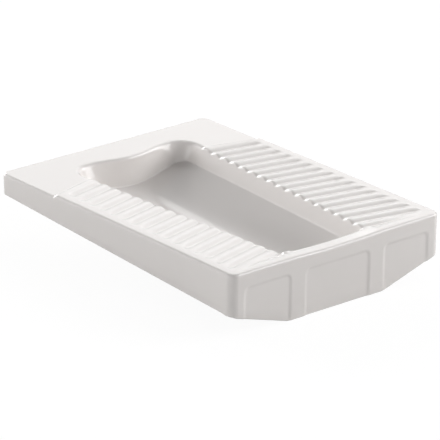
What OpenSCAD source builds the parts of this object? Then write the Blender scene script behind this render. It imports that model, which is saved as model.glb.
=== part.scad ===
// Squat toilet pan of the flat kind: one glazed vitreous-china casting with two
// ribbed foot treads, a tapering bowl, skirts that deepen towards the outlet
// end, and a bottom outlet whose spigot carries a rubber seal.
// +X runs from the head end to the outlet end, +Y across the pan and +Z up.
// The origin is on the ground under the middle of the pan.

/* [Pan] */
// Length over the end faces
pan_l = 600; // [560:5:680]
// Width over the side skirts
pan_w = 450; // [430:5:500]
// Height of the plain head deck above the ground
deck_z = 104; // [100:1:120]
// Thickness of the plain head deck
deck_t = 12; // [10:1:16]
// Thickness of the skirts and of the bowl
wall = 11; // [9:0.5:13]
// Plan radius of the four outer corners
corner_r = 15; // [9:1:22]
// Rounding of the outer top edge
edge_r = 4; // [2:0.5:5]

/* [Skirts] */
// Depth of the head skirt below the deck
head_skirt_h = 36; // [28:1:44]
// How far the head face leans in at its lower edge
head_lean = 5; // [2:0.5:8]
// Height of the skirt's lower edge at the outlet corners
tail_lift = 36; // [24:1:46]
// Width of the level lower edge of the end skirt
end_foot_w = 210; // [180:5:240]

/* [End face panels] */
// Depth of the three sunk panels
panel_d = 3; // [1.5:0.5:4]
// Distance from the deck level down to the top of the panels
panel_drop = 24; // [20:1:30]
// Radius of the panels' upper corners
panel_r = 9; // [5:1:14]
// Width of the middle panel
mid_panel_w = 136; // [110:2:150]
// Width of the two pillars between the panels
pillar_w = 33; // [26:1:40]
// Width of the two corner posts
post_w = 28; // [22:1:34]

/* [Foot treads] */
// Height of the raised border above the head deck
tread_rise = 4; // [2:0.5:6]
// Width of the plain border along the side skirts
border_w = 19; // [15:1:24]
// Fall of the treads towards the bowl, in degrees
tread_tilt = 3.3; // [2:0.1:4]
// Slant of the ribs away from square, in degrees
rib_skew = 17; // [10:1:20]
// Distance from the head end to the bowl end of the first rib
rib_start = 125.5; // [120:0.5:135]
// Pitch of the ribs along the pan
rib_pitch = 26.1; // [22:0.1:32]
// Radius of a rib's rounded crest
rib_r = 8; // [7:0.5:9]
// Depth of the grooves below the crests
groove_d = 4.5; // [3:0.5:5]
// Thickness of the casting under the crests
tread_t = 20; // [18:1:24]
// Width of the lip that closes the last groove towards the bowl
lip_w = 6; // [4:0.5:8]
// Dip of the end rim at its middle
rim_dip = 2; // [1:0.5:3]

/* [Bowl] */
// Distance from the head end to the head edge of the bowl's mouth
mouth_head = 63; // [58:1:72]
// Width of the end rim behind the mouth
end_rim_w = 26; // [24:1:34]
// Width of the mouth where its sides would meet the head edge
mouth_head_w = 252; // [236:2:260]
// Width of the mouth where its sides would meet the end rim
mouth_tail_w = 180; // [172:2:190]
// Plan radius of the mouth's head corners
mouth_head_r = 34; // [28:1:40]
// Plan radius of the mouth's outlet corners
mouth_tail_r = 25; // [22:1:32]
// How far the rounded bulge of the head wall stands into the bowl
bulge_d = 14; // [8:1:18]
// Width of the bulge at its root
bulge_w = 164; // [140:2:176]
// Depth of the crease between the side walls and the floor
crease_d = 30; // [26:1:34]
// How far the walls lean in above the crease
wall_lean = 13; // [10:1:15]
// Depth of the floor's middle at the head wall
floor_head_d = 55; // [50:1:58]
// Depth of the floor's middle at the outlet
floor_tail_d = 68; // [64:1:70]
// Radius that rounds the bottom of the trough
trough_r = 12; // [8:1:16]
// Width of the level strip along the trough
trough_w = 28; // [16:2:40]

/* [Outlet] */
// Distance from the outlet end face to the centre of the outlet
outlet_back = 95; // [92:1:110]
// Inside radius of the outlet
outlet_r = 41; // [36:1:44]
// Wall of the outlet spigot
spigot_t = 10; // [8:0.5:11]
// Clearance between the spigot's lower end and the ground
spigot_clear = 2; // [1:0.5:4]
// Width of the level shoulder around the spigot
shoulder_w = 12; // [10:1:14]

/* [Bearing foot] */
// Distance from the head end to the middle of the foot
foot_back = 150; // [135:5:190]
// Width of the foot across the pan, at the ground
foot_w = 140; // [120:5:160]
// Thickness of the foot along the pan
foot_t = 16; // [12:1:20]

/* [Outlet seal] */
// Thickness of the seal's sleeve
seal_t = 4; // [3:0.5:5]
// Gap between the seal and the spigot
seal_gap = 0.2; // [0.1:0.05:0.3]
// Thickness of the seal's flange
seal_flange_t = 4; // [3:0.5:5]
// Width of the chamfer that leads into the pipe's socket
seal_chamfer = 1.5; // [1:0.25:2.5]

/* [Hidden] */
$fn = 96;
// Facets of a disc or ball that a hull wraps
HULL_FN = 32;
// Facets of the wide, shallow arcs
ARC_FN = 360;
// Overshoot of cutting tools
CUT = 10;
// Thickness of the discs that a hull joins
LAYER = 0.02;

head_x = -pan_l / 2;
tail_x = pan_l / 2;
half_w = pan_w / 2;
border_z = deck_z + tread_rise;
inner_half = half_w - border_w;

mouth_x0 = head_x + mouth_head;
mouth_x1 = tail_x - end_rim_w;
mouth_slope = (mouth_head_w - mouth_tail_w) / 2 / (mouth_x1 - mouth_x0);
crease_z = deck_z - crease_d;
bulge_x = mouth_x0 + bulge_d;
bulge_r = (pow(bulge_w / 2, 2) + bulge_d * bulge_d) / (2 * bulge_d);

outlet_x = tail_x - outlet_back;
spigot_r = outlet_r + spigot_t;
outlet_floor_z = deck_z - floor_tail_d;
shoulder_z = outlet_floor_z - wall;
trough_x0 = bulge_x + trough_r;
trough_x1 = outlet_x + outlet_r - trough_r;

foot_x = head_x + foot_back;

seal_r0 = spigot_r + seal_gap;
seal_r1 = seal_r0 + seal_t;
seal_flange_r = spigot_r + shoulder_w;

rib_room = mouth_x1 - (head_x + rib_start) - 2 * rib_r;
rib_n = floor(rib_room / rib_pitch) + 1;

// Half the width of the mouth at a place along the pan
function mouth_half(x) = mouth_head_w / 2 - mouth_slope * (x - mouth_x0);

// Where a rib's bowl end lies along the pan
function rib_x(k) = head_x + rib_start + k * rib_pitch;

// Outline of the pan seen from above, drawn in by a margin
module plan(margin) {
    r = corner_r - margin;
    square([pan_l - 2 * margin, pan_w - 2 * corner_r], center = true);
    square([pan_l - 2 * corner_r, pan_w - 2 * margin], center = true);
    for (sx = [-1, 1], sy = [-1, 1])
        translate([sx * (pan_l / 2 - corner_r), sy * (half_w - corner_r)])
            circle(r);
}

// Block of the pan's outline whose top edge is rounded
module block(h) {
    linear_extrude(h - edge_r)
        plan(0);
    linear_extrude(h)
        plan(edge_r);
    translate([0, 0, h - edge_r]) {
        for (s = [-1, 1]) {
            translate([0, s * (half_w - edge_r), 0])
                rotate([0, 90, 0])
                    cylinder(r = edge_r, h = pan_l - 2 * corner_r, center = true);
            translate([s * (pan_l / 2 - edge_r), 0, 0])
                rotate([90, 0, 0])
                    cylinder(r = edge_r, h = pan_w - 2 * corner_r, center = true);
        }
        for (sx = [-1, 1], sy = [-1, 1])
            translate([sx * (pan_l / 2 - corner_r), sy * (half_w - corner_r), 0])
                rotate_extrude()
                    translate([corner_r - edge_r, 0])
                        circle(edge_r);
    }
}

// Plan of the treads, the borders beside them and the end rim
module raised_plan() {
    x_in = rib_x(0) - rib_r;
    x_out = x_in + (half_w - mouth_half(x_in)) * tan(rib_skew);
    polygon([
        [x_in - mouth_half(x_in) * tan(rib_skew), 0],
        [x_out, half_w],
        [tail_x, half_w],
        [tail_x, -half_w],
        [x_out, -half_w]
    ]);
}

// Head deck with the higher treads and rims behind it, as one solid block
module raised_block() {
    block(deck_z);
    intersection() {
        block(border_z);
        linear_extrude(border_z)
            raised_plan();
    }
}

// Layer of the mouth's outline at one height, grown outwards and with its own
// corner radii, as four discs for a hull
module mouth_layer(z, grow, r_head, r_tail) {
    stretch = sqrt(1 + mouth_slope * mouth_slope);
    x0 = mouth_x0 - grow + r_head;
    x1 = mouth_x1 + grow - r_tail;
    y0 = mouth_half(x0) + (grow - r_head) * stretch;
    y1 = mouth_half(x1) + (grow - r_tail) * stretch;
    translate([0, 0, z])
        for (s = [-1, 1]) {
            translate([x0, s * y0, 0])
                cylinder(r = r_head, h = LAYER, $fn = HULL_FN);
            translate([x1, s * y1, 0])
                cylinder(r = r_tail, h = LAYER, $fn = HULL_FN);
        }
}

// Four balls along the bottom of the trough, grown outwards, for a hull
module trough_balls(grow) {
    r = trough_r + grow;
    for (s = [-1, 1]) {
        translate([trough_x0, s * trough_w / 2, deck_z - floor_head_d + trough_r])
            sphere(r, $fn = HULL_FN);
        translate([trough_x1, s * trough_w / 2, outlet_floor_z + trough_r])
            sphere(r, $fn = HULL_FN);
    }
}

// Space inside the bowl, or with grow the bowl's outer form
module bowl_form(grow, top) {
    rise = top - deck_z;
    flare = wall_lean * rise / crease_d;
    hull() {
        mouth_layer(top, grow + flare, mouth_head_r + grow, mouth_tail_r + grow);
        mouth_layer(
            crease_z, grow - wall_lean,
            mouth_head_r - wall_lean + grow, mouth_tail_r - wall_lean + grow
        );
    }
    hull() {
        mouth_layer(
            crease_z, grow - wall_lean,
            mouth_head_r - wall_lean + grow, mouth_tail_r - wall_lean + grow
        );
        trough_balls(grow);
    }
}

// Rounded bulge in the middle of the head wall
module bulge() {
    intersection() {
        translate([bulge_x - bulge_r, 0, 0])
            cylinder(r = bulge_r, h = deck_z, $fn = ARC_FN);
        translate([mouth_x0 - wall / 2, -bulge_w / 2, deck_z - floor_head_d - wall / 2])
            cube([bulge_d + wall, bulge_w, floor_head_d + wall / 2]);
    }
}

// Sunk field of one tread, parallel to the rib crests. It opens to the bowl up to
// the last rib, and a lip closes it behind that.
module tread_field() {
    x_in = rib_x(0) - rib_r - groove_d;
    x_last = rib_x(rib_n - 1);
    x_skew = (inner_half - mouth_half(x_in)) * tan(rib_skew);
    y_run = inner_half - mouth_tail_w / 2 + crease_d;
    translate([0, inner_half, border_z - groove_d])
        rotate([tread_tilt, 0, 0])
            linear_extrude(2 * tread_t)
                polygon([
                    [x_in + x_skew, 0],
                    [mouth_x1, 0],
                    [mouth_x1, mouth_half(mouth_x1) + lip_w - inner_half],
                    [x_last, mouth_half(x_last) + lip_w - inner_half],
                    [x_last, -y_run],
                    [x_in + x_skew - y_run * tan(rib_skew), -y_run]
                ]);
}

// One rib: a round bar that falls towards the bowl and ends in a ball there
module rib(k) {
    y_tip = mouth_half(rib_x(k));
    run = (inner_half - y_tip) / cos(rib_skew);
    tip_z = border_z - (inner_half - y_tip) * tan(tread_tilt) - rib_r;
    fall = atan(tan(tread_tilt) * cos(rib_skew));
    length = run / cos(fall) + rib_r;
    translate([rib_x(k), y_tip, tip_z])
        rotate([0, 0, 90 - rib_skew])
            rotate([0, 90 - fall, 0])
                translate([0, 0, rib_r]) {
                    cylinder(r = rib_r, h = length - rib_r);
                    sphere(rib_r);
                }
}

// The sunk field of one tread, less its ribs
module tread_cut() {
    difference() {
        tread_field();
        for (k = [0:rib_n - 1])
            rib(k);
    }
}

// Sunk panel of the end face, open at its lower edge
module end_panel(y0, y1) {
    top_z = deck_z - panel_drop;
    translate([tail_x - panel_d, 0, 0])
        rotate([90, 0, 90])
            linear_extrude(panel_d + CUT) {
                translate([y0, -CUT])
                    square([y1 - y0, top_z - panel_r + CUT]);
                translate([y0 + panel_r, -CUT])
                    square([y1 - y0 - 2 * panel_r, top_z + CUT]);
                for (y = [y0 + panel_r, y1 - panel_r])
                    translate([y, top_z - panel_r])
                        circle(panel_r);
            }
}

// The three panels of the end face
module end_panels() {
    mid = mid_panel_w / 2;
    end_panel(-mid, mid);
    for (s = [0, 1])
        mirror([0, s, 0])
            end_panel(mid + pillar_w, half_w - post_w);
}

// What is cut away below the skirts: the rising lower edges, the slanted corners
// of the end skirt and the lean of the head face
module under_cut() {
    head_z = deck_z - head_skirt_h;
    run = pan_l - wall;
    rise = (head_z - tail_lift) * wall / pan_l;
    translate([0, half_w + CUT, 0])
        rotate([90, 0, 0])
            linear_extrude(pan_w + 2 * CUT)
                polygon([
                    [head_x - CUT, -CUT],
                    [head_x - CUT, head_z],
                    [head_x, head_z],
                    [head_x + run, tail_lift + rise],
                    [head_x + run, -CUT]
                ]);
    for (s = [0, 1])
        mirror([0, s, 0])
            translate([tail_x - wall - CUT, 0, 0])
                rotate([90, 0, 90])
                    linear_extrude(wall + 2 * CUT)
                        polygon([
                            [end_foot_w / 2, 0],
                            [half_w, tail_lift],
                            [half_w + CUT, tail_lift],
                            [half_w + CUT, -CUT],
                            [end_foot_w / 2, -CUT]
                        ]);
    lean_h = head_skirt_h - edge_r;
    translate([head_x, 0, deck_z - edge_r])
        rotate([0, -atan(head_lean / lean_h), 0])
            translate([-2 * CUT, -half_w - CUT, -2 * head_skirt_h])
                cube([2 * CUT, pan_w + 2 * CUT, 2 * head_skirt_h]);
}

// Hollow under the deck and the treads, inside the skirts
module under_hollow() {
    x0 = head_x + head_lean + wall;
    x_tread = rib_x(0) - rib_r - groove_d - wall;
    depth = pan_w - 2 * wall;
    translate([x0, -depth / 2, -CUT])
        cube([tail_x - wall - x0, depth, border_z - tread_t - tread_rise + CUT]);
    translate([x0, -depth / 2, -CUT])
        cube([x_tread - x0, depth, deck_z - deck_t + CUT]);
}

// Cast foot under the head half of the bowl
module bearing_foot() {
    translate([foot_x + foot_t / 2, 0, 0])
        rotate([90, 0, -90])
            linear_extrude(foot_t)
                polygon([
                    [-foot_w / 2, 0],
                    [foot_w / 2, 0],
                    [foot_w / 2 + wall, crease_z],
                    [-foot_w / 2 - wall, crease_z]
                ]);
}

// Outlet spigot and its level shoulder, which run up into the bowl's wall
module spigot() {
    top_z = crease_z - wall;
    translate([outlet_x, 0, spigot_clear])
        cylinder(r = spigot_r, h = top_z - spigot_clear);
    translate([outlet_x, 0, shoulder_z])
        cylinder(r = seal_flange_r, h = top_z - shoulder_z);
}

// Bore of the outlet
module outlet_bore() {
    translate([outlet_x, 0, -CUT])
        cylinder(r = outlet_r, h = crease_z + CUT);
}

// Shallow dip along the top of the end rim
module end_rim_dip() {
    chord = mouth_tail_w / 2;
    r = (chord * chord + rim_dip * rim_dip) / (2 * rim_dip);
    translate([mouth_x1 - CUT, 0, border_z - rim_dip + r])
        rotate([0, 90, 0])
            cylinder(r = r, h = end_rim_w + 2 * CUT, $fn = ARC_FN);
}

// The whole casting
module pan() {
    color("white")
    difference() {
        union() {
            difference() {
                raised_block();
                under_hollow();
                under_cut();
            }
            bowl_form(wall, deck_z - deck_t / 2);
            bearing_foot();
            spigot();
        }
        difference() {
            bowl_form(0, border_z + CUT);
            bulge();
        }
        for (s = [0, 1])
            mirror([0, s, 0])
                tread_cut();
        outlet_bore();
        end_rim_dip();
        end_panels();
    }
}

// Rubber seal on the spigot, for the socket of the drain pipe
module outlet_seal() {
    h = shoulder_z - spigot_clear;
    color("dimgray")
    translate([outlet_x, 0, spigot_clear])
        rotate_extrude()
            polygon([
                [seal_r0, 0],
                [seal_r1 - seal_chamfer, 0],
                [seal_r1, 2 * seal_chamfer],
                [seal_r1, h - seal_flange_t],
                [seal_flange_r, h - seal_flange_t],
                [seal_flange_r, h],
                [seal_r0, h]
            ]);
}

pan();
outlet_seal();
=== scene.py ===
import math

import bmesh
import bpy
import numpy as np
from bpy.props import FloatProperty, FloatVectorProperty, IntProperty, PointerProperty
from mathutils import Matrix, Vector


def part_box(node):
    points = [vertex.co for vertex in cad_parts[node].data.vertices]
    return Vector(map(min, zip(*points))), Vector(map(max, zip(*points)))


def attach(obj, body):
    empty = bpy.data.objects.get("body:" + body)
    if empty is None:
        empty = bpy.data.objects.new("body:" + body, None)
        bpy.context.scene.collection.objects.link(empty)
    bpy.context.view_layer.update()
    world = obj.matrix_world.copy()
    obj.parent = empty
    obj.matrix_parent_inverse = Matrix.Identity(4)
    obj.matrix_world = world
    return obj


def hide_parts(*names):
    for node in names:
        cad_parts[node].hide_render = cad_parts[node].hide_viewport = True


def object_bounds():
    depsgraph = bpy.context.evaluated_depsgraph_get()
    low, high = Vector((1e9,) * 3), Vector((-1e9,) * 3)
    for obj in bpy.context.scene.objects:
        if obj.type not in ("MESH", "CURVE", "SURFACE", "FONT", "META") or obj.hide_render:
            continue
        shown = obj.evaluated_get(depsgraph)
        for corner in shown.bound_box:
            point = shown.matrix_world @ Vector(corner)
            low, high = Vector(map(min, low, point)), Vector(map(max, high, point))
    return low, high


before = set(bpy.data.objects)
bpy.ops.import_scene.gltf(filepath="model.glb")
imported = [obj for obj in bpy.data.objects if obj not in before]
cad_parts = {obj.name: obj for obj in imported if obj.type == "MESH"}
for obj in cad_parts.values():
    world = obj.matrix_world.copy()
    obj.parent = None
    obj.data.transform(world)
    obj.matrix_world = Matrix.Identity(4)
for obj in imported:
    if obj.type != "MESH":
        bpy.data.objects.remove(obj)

bl_info = {
    "name": "Squat toilet pan",
    "version": (1, 0, 0),
    "blender": (4, 5, 0),
    "location": "View3D > Sidebar > Squat pan",
    "description": "A glazed squat pan with ribbed treads, its outlet seal and a plain studio",
    "category": "Object",
}

MM = 0.001
CAD_LOW, CAD_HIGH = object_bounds()
SEAL_LOW, SEAL_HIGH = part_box("outlet_seal")


# ---------------------------------------------------------------- sizes

def length(name, description, default):
    """A length of up to a metre, given in millimetres and kept in metres."""
    return FloatProperty(
        name=name, description=description, default=default * MM,
        min=0.0, max=1.0, unit="LENGTH", precision=4,
    )


def rotation(name, description, default):
    """An angle, given in degrees and kept in radians."""
    return FloatProperty(
        name=name, description=description, default=math.radians(default), unit="ROTATION",
    )


def portion(name, description, default, low, high):
    """A share of another size."""
    return FloatProperty(
        name=name, description=description, default=default, min=low, max=high,
    )


def tint(name, description, default):
    """A colour, in linear red, green and blue."""
    return FloatVectorProperty(
        name=name, description=description, default=default, subtype="COLOR", size=3, min=0, max=1,
    )


class PanSizes(bpy.types.PropertyGroup):
    """The slab, its skirts and the panels of its outlet end."""

    deck_z: length("Deck height", "Height of the plain head deck above the ground", 104)
    deck_t: length("Deck thickness", "Thickness of the plain head deck", 12)
    tread_t: length("Tread thickness", "Depth of the treads' underside below the deck", 20)
    wall: length("Wall", "Thickness of the skirts and of the bowl", 11)
    corner_r: length("Corner radius", "Plan radius of the four outer corners", 15)
    edge_r: length("Edge rounding", "Rounding of the outer top edge", 4.5)
    foot_r: length("Lower edge rounding", "Rounding of the skirts' lower edge", 2.2)
    head_skirt: length("Head skirt", "Depth of the head skirt below the deck", 36)
    head_lean: length("Head lean", "How far the head face leans in at its lower edge", 5)
    tail_lift: length("Outlet corner lift", "Height of the lower edge at the outlet corners", 36)
    end_foot: length("Level lower edge", "Width of the end skirt's level lower edge", 210)
    panel_d: length("Panel depth", "Depth of the end face's sunk panels", 1.5)
    panel_drop: length("Panel drop", "From the deck level down to the top of the panels", 24)
    panel_r: length("Panel radius", "Radius of the panels' upper corners", 9)
    panel_soft: length("Panel edge", "Width over which a panel's edge is rounded", 5)
    panel_mid: length("Middle panel", "Width of the middle panel", 136)
    pillar: length("Pillar", "Width of the pillars between the panels", 33)
    post: length("Corner post", "Width of the corner posts", 28)


class TreadSizes(bpy.types.PropertyGroup):
    """The raised borders and the ribbed foot treads."""

    rise: length("Border rise", "Height of the border above the head deck", 4)
    border: length("Border width", "Width of the plain border along the side skirts", 19)
    step: length("Step", "Length of the soft step from the deck to the border", 7)
    tilt: rotation("Tilt", "Fall of the treads towards the bowl", 2.6)
    skew: rotation("Skew", "Slant of the ribs away from square", 17.0)
    first: length("First rib", "From the head end to the bowl end of the first rib", 129)
    pitch: length("Rib pitch", "Pitch of the ribs along the pan", 26.1)
    count: IntProperty(name="Ribs", description="Ribs on each tread", default=17, min=1)
    depth: length("Groove depth", "Depth of the grooves below the crests", 2.8)
    fall: portion("Fall", "Share of the pitch in which a tread falls from a crest", 0.46, 0.1, 0.9)
    valley: portion("Valley", "Roundness of the valleys, as a share of the depth", 0.3, 0.05, 1.0)
    end_gap: length("Groove end", "From the side face to the outer end of the grooves", 11)
    end_fade: length("Groove fade", "Length over which a groove rises to its outer end", 22)
    run_out: length("Run-out", "Length of the slope from the last groove up to the end rim", 26)


class BowlSizes(bpy.types.PropertyGroup):
    """The mouth, walls and floor of the bowl."""

    mouth_head: length("Head deck", "From the head end to the head edge of the mouth", 62.5)
    end_rim: length("End rim", "Width of the end rim behind the mouth", 26)
    head_w: length("Mouth at the head", "Width where the sides meet the head edge", 252)
    tail_w: length("Mouth at the outlet", "Width where the sides meet the end rim", 180)
    head_r: length("Head corner", "Plan radius of the mouth's head corners", 34)
    tail_r: length("Outlet corner", "Plan radius of the mouth's outlet corners", 25)
    bulge_d: length("Bulge", "How far the head wall's bulge stands into the bowl", 15)
    bulge_w: length("Bulge width", "Width of the bulge", 172)
    lip_deck: length("Deck lip", "Rounding of the mouth's edge along the deck", 6)
    lip_tread: length("Tread lip", "Rounding of the mouth's edge along the treads", 3.6)
    crease: length("Crease depth", "Depth of the crease between side walls and floor", 30)
    lean: length("Wall lean", "How far the walls lean in above the crease", 13)
    crease_r: length("Crease rounding", "Distance over which the crease is rounded", 2.5)
    floor_head: length("Floor at the head", "Depth of the floor's middle at the head wall", 52)
    floor_tail: length("Floor at the outlet", "Depth of the floor's middle at the outlet", 68)
    tail_lean: length("Outlet wall lean", "How far the outlet wall leans in at the floor", 24)
    trough: portion(
        "Trough", "Roundness of the floor's middle, as a share of its half width", 0.7, 0.05, 1.0,
    )
    rim_dip: length("Rim dip", "Dip of the end rim at its middle", 2)


class OutletSizes(bpy.types.PropertyGroup):
    """The outlet, its spigot, the bearing foot and the seal."""

    back: length("Outlet place", "From the outlet end face to the centre of the outlet", 95)
    bore_r: length("Bore radius", "Inside radius of the outlet", 41)
    bore_lip: length("Bore lip", "Rounding between the floor and the bore", 5)
    spigot_r: length("Spigot radius", "Outside radius of the spigot", 51)
    spigot_z: length("Spigot end", "Height of the spigot's lower end", 2)
    shoulder_r: length("Shoulder radius", "Radius of the level shoulder round the spigot", 63)
    shoulder_z: length("Shoulder height", "Height of the level shoulder", 25)
    foot_back: length("Foot place", "From the head end to the middle of the foot", 150)
    foot_w: length("Foot width", "Width of the foot across the pan, at the ground", 140)
    foot_t: length("Foot thickness", "Thickness of the foot along the pan", 16)
    seal_fins: IntProperty(name="Seal fins", description="Fins round the seal", default=3)


class PanColours(bpy.types.PropertyGroup):
    """Colours of the glaze, the bare china and the rubber."""

    glaze: tint("Glaze", "Colour of the white glaze", (0.80, 0.768, 0.748))
    bare: tint("Bare china", "Colour of the fired body where no glaze lies", (0.70, 0.665, 0.60))
    rubber: tint("Rubber", "Colour of the outlet seal", (0.028, 0.028, 0.03))


class StudioSettings(bpy.types.PropertyGroup):
    """Camera, world and lamps."""

    azimuth: rotation("Azimuth", "Direction that the camera looks in, from +Y", 49.27)
    elevation: rotation("Elevation", "Height of the camera above the horizon", 21.39)
    roll: rotation("Roll", "Roll of the camera", 0.973)
    distance: FloatProperty(
        name="Distance", description="From the camera to the point that it aims at",
        default=6.334, unit="LENGTH",
    )
    focal: FloatProperty(
        name="Focal length", description="In widths of the picture", default=3820 / 440,
    )
    shift_right: length("Aim right", "How far right of the deck's middle it aims", 4.63)
    shift_down: length("Aim down", "How far below the deck's middle it aims", 44.4)
    world: FloatProperty(
        name="World", description="Strength of the world's light, apart from what is seen in it",
        default=0.02,
    )
    light: FloatProperty(name="Light", description="Brightness of all the panels", default=1.0)


SIZE_GROUPS = {
    "pan": PanSizes, "tread": TreadSizes, "bowl": BowlSizes, "outlet": OutletSizes,
    "colour": PanColours, "studio": StudioSettings,
}


class SquatPanSettings(bpy.types.PropertyGroup):
    """Every setting of the pan, by group."""

    pan: PointerProperty(type=PanSizes)
    tread: PointerProperty(type=TreadSizes)
    bowl: PointerProperty(type=BowlSizes)
    outlet: PointerProperty(type=OutletSizes)
    colour: PointerProperty(type=PanColours)
    studio: PointerProperty(type=StudioSettings)


# ---------------------------------------------------------------- small helpers

def smooth(t):
    """0 below 0, 1 above 1 and a smooth ramp between."""
    t = np.clip(t, 0.0, 1.0)
    return t * t * (3 - 2 * t)


def lerp(a, b, t):
    """From a at 0 to b at 1."""
    return a + (b - a) * t


def arc(centre, radius, start, end, count):
    """Points along an arc, both ends included; angles in degrees."""
    t = np.radians(np.linspace(start, end, count))
    return np.stack([centre[0] + radius * np.cos(t), centre[1] + radius * np.sin(t)], 1)


def line(a, b, count):
    """Points along a straight line, both ends included."""
    return np.linspace(np.array(a, float), np.array(b, float), count)


def along(points, count):
    """The same path with count points, evenly spaced."""
    steps = np.linalg.norm(np.diff(points, axis=0), axis=1)
    s = np.concatenate([[0.0], np.cumsum(steps)])
    t = np.linspace(0, s[-1], count)
    return np.stack([np.interp(t, s, points[:, k]) for k in range(2)], 1)


def join(*paths):
    """Paths that meet end to end, as one."""
    return np.concatenate([paths[0]] + [p[1:] for p in paths[1:]])


def mirrored(half):
    """A closed loop from a half that starts and ends on the middle plane."""
    other = half[-2:0:-1].copy()
    other[:, 1] *= -1
    return np.concatenate([half, other])


def unit(vectors):
    """The same vectors, each one long."""
    return vectors / np.linalg.norm(vectors, axis=1)[:, None]


def normals(loop):
    """Unit normals in plan of a closed loop, pointing to the left of its run."""
    d = np.roll(loop, -1, axis=0) - np.roll(loop, 1, axis=0)
    return unit(np.stack([-d[:, 1], d[:, 0]], 1))


def lifted(plan, height):
    """Points of a line in plan, at the heights that a function of x and y gives."""
    return np.column_stack([plan, height(*plan.T)])


# ---------------------------------------------------------------- the pan's form

class PanForm:
    """Plan lines and heights of the pan, worked out from its sizes."""

    # stations on half the outline: the head edge, its corner and the side of the head deck, then
    # the treads at an even spacing, then the outlet corner and the end edge
    HEAD_STATIONS = (34, 12, 28)
    SKEW_STEP = 1.6 * MM
    TAIL_STATIONS = (16, 84)
    # points on the mouth's arcs, short links and end edge before they are spaced evenly
    ARC_POINTS, LINK_POINTS, EDGE_POINTS = 48, 4, 90
    FLOOR_RINGS = 22
    # how far ahead of the first rib the slanting stations, the step up and the thick part start
    STATION_LEAD = 18 * MM
    STEP_LEAD = 15 * MM
    THICK_LEAD = 28 * MM
    # over which length the mouth's lip and the underside change there
    CHANGE = 8 * MM
    # the treads' narrow lip ends this far inside the mouth's outlet corners
    END_CORNER = 12 * MM
    # the end rim: its level width, how far it reaches round the mouth's end, and its soft edges
    RIM_LEVEL = 10 * MM
    RIM_REACH = 12 * MM
    RIM_SOFT_Y, RIM_SOFT_X = 14 * MM, 10 * MM
    # the least squareness to an edge that a rounding along the stations reckons with
    LEAST_ACROSS = 0.35
    # the head wall's lean at the middle of its bulge
    BULGE_LEAN = 1 * MM
    # thickness of the bowl's walls at their foot and of its floor, as shares of the wall
    WALL_SHARE, FLOOR_SHARE = 0.9, 1.06
    # the bowl's underside stays this far outside and above the outlet's shoulder
    SHOULDER_OUT, SHOULDER_UP = 3 * MM, 2 * MM

    def __init__(self, sizes):
        self.p, self.t, self.b, self.o = sizes.pan, sizes.tread, sizes.bowl, sizes.outlet
        self.head_x, self.tail_x = CAD_LOW.x, CAD_HIGH.x
        self.half_w = CAD_HIGH.y
        b = self.b
        self.mouth_x0 = self.head_x + b.mouth_head
        self.mouth_x1 = self.tail_x - b.end_rim
        self.slope = (b.head_w - b.tail_w) / 2 / (self.mouth_x1 - self.mouth_x0)
        self.rib_x0 = self.head_x + self.t.first
        self.tan_skew = math.tan(self.t.skew)
        self.inner_half = self.half_w - self.t.border
        self.border_z = self.p.deck_z + self.t.rise
        self.outlet_x = self.tail_x - self.o.back
        self.stations()
        self.outer_lines()
        self.bowl_lines()

    # plan -----------------------------------------------------------

    def mouth_half(self, x):
        """Half the width of the mouth."""
        return self.b.head_w / 2 - self.slope * (x - self.mouth_x0)

    def bulge(self, y):
        """How far the head wall's bulge stands into the bowl."""
        t = np.clip(np.abs(y) / (self.b.bulge_w / 2), 0, 1)
        return self.b.bulge_d * (0.5 + 0.5 * np.cos(np.pi * t))

    def rib_coord(self, x, y):
        """Place along the mouth of the slanting line that passes a point."""
        k = self.tan_skew
        base = self.b.head_w / 2 + self.slope * self.mouth_x0
        return (x - k * np.abs(y) + k * base) / (1 + k * self.slope)

    def corner(self, x_edge, r, sign):
        """Centre of a mouth corner between an end and the +Y side, and the side's angle."""
        turn = math.atan(self.slope)
        cx = x_edge + sign * r
        cy = self.mouth_half(cx) - r * math.sqrt(1 + self.slope ** 2)
        return (cx, cy), math.degrees(turn)

    def stations(self):
        """Matching points on the outer outline and on the mouth, all the way round."""
        p, b = self.p, self.b
        n_edge, n_corner, n_side = self.HEAD_STATIONS
        m_corner, m_edge = self.TAIL_STATIONS
        head_c, turn = self.corner(self.mouth_x0, b.head_r, 1)
        tail_c, _ = self.corner(self.mouth_x1, b.tail_r, -1)
        head_arc = arc(head_c, b.head_r, 180, 90 - turn, self.ARC_POINTS)
        tail_arc = arc(tail_c, b.tail_r, 90 - turn, 0, self.ARC_POINTS)
        rc = p.corner_r
        # head edge and corner
        y = np.linspace(0, head_c[1], n_edge + 1)
        mouth = [np.stack([self.mouth_x0 + self.bulge(y), y], 1)]
        outer = [
            line((self.head_x, 0), (self.head_x, self.half_w - rc), n_edge + 1),
            arc((self.head_x + rc, self.half_w - rc), rc, 180, 90, n_corner + 1),
        ]
        # the side of the head deck, then the treads along the ribs' slant
        lead_x = self.rib_x0 - self.STATION_LEAD
        end_outer = self.tail_x - rc
        end_x = self.rib_coord(end_outer, self.half_w)
        steps = len(np.arange(lead_x, end_x, self.SKEW_STEP)) // 2 * 2
        x = np.linspace(lead_x, end_x, steps + 1)
        half = self.mouth_half(x)
        mouth_side = np.stack([x, half], 1)
        slant_x = x + self.tan_skew * (self.half_w - half)
        outer_side = np.stack([slant_x, np.full_like(x, self.half_w)], 1)
        turn_in = join(head_arc, line(head_arc[-1], mouth_side[0], self.LINK_POINTS))
        mouth += [along(turn_in, n_corner + n_side + 1), mouth_side]
        outer += [line(outer[-1][-1], outer_side[0], n_side + 1), outer_side]
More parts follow.
